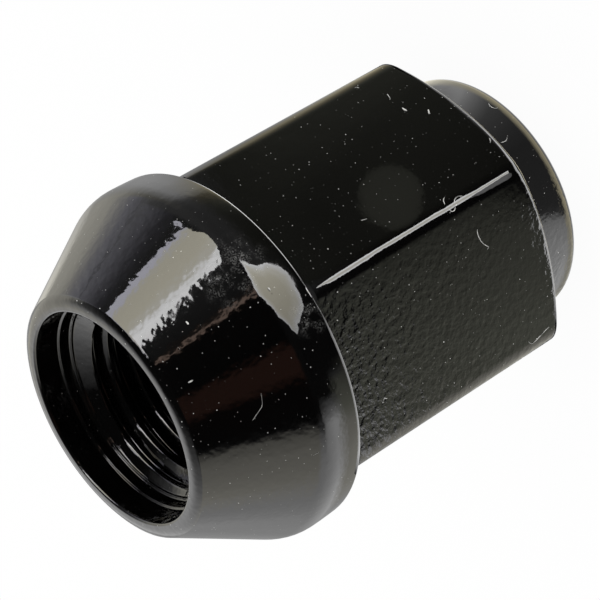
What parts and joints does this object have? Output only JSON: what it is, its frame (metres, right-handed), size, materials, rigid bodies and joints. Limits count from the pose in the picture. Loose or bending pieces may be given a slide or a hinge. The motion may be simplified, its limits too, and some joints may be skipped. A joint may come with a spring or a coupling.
{
  "type": "lug nut",
  "caption": "Closed-end wheel lug nut in glossy black, with a hex body, a bulged conical seat and a threaded blind bore.",
  "frame": {"origin": "centre of the closed end's flat face, which the nut stands on", "axes": "+Z along the thread axis, from the closed end out of the mouth; a hex corner points along -Y and two flats face along X"},
  "size_m": [0.0222, 0.0222, 0.0299],
  "materials": {
    "black_paint": "gloss black with a light orange-peel texture"
  },
  "bodies": {
    "root": {"lug_nut": "black_paint"}
  },
  "joints": []
}
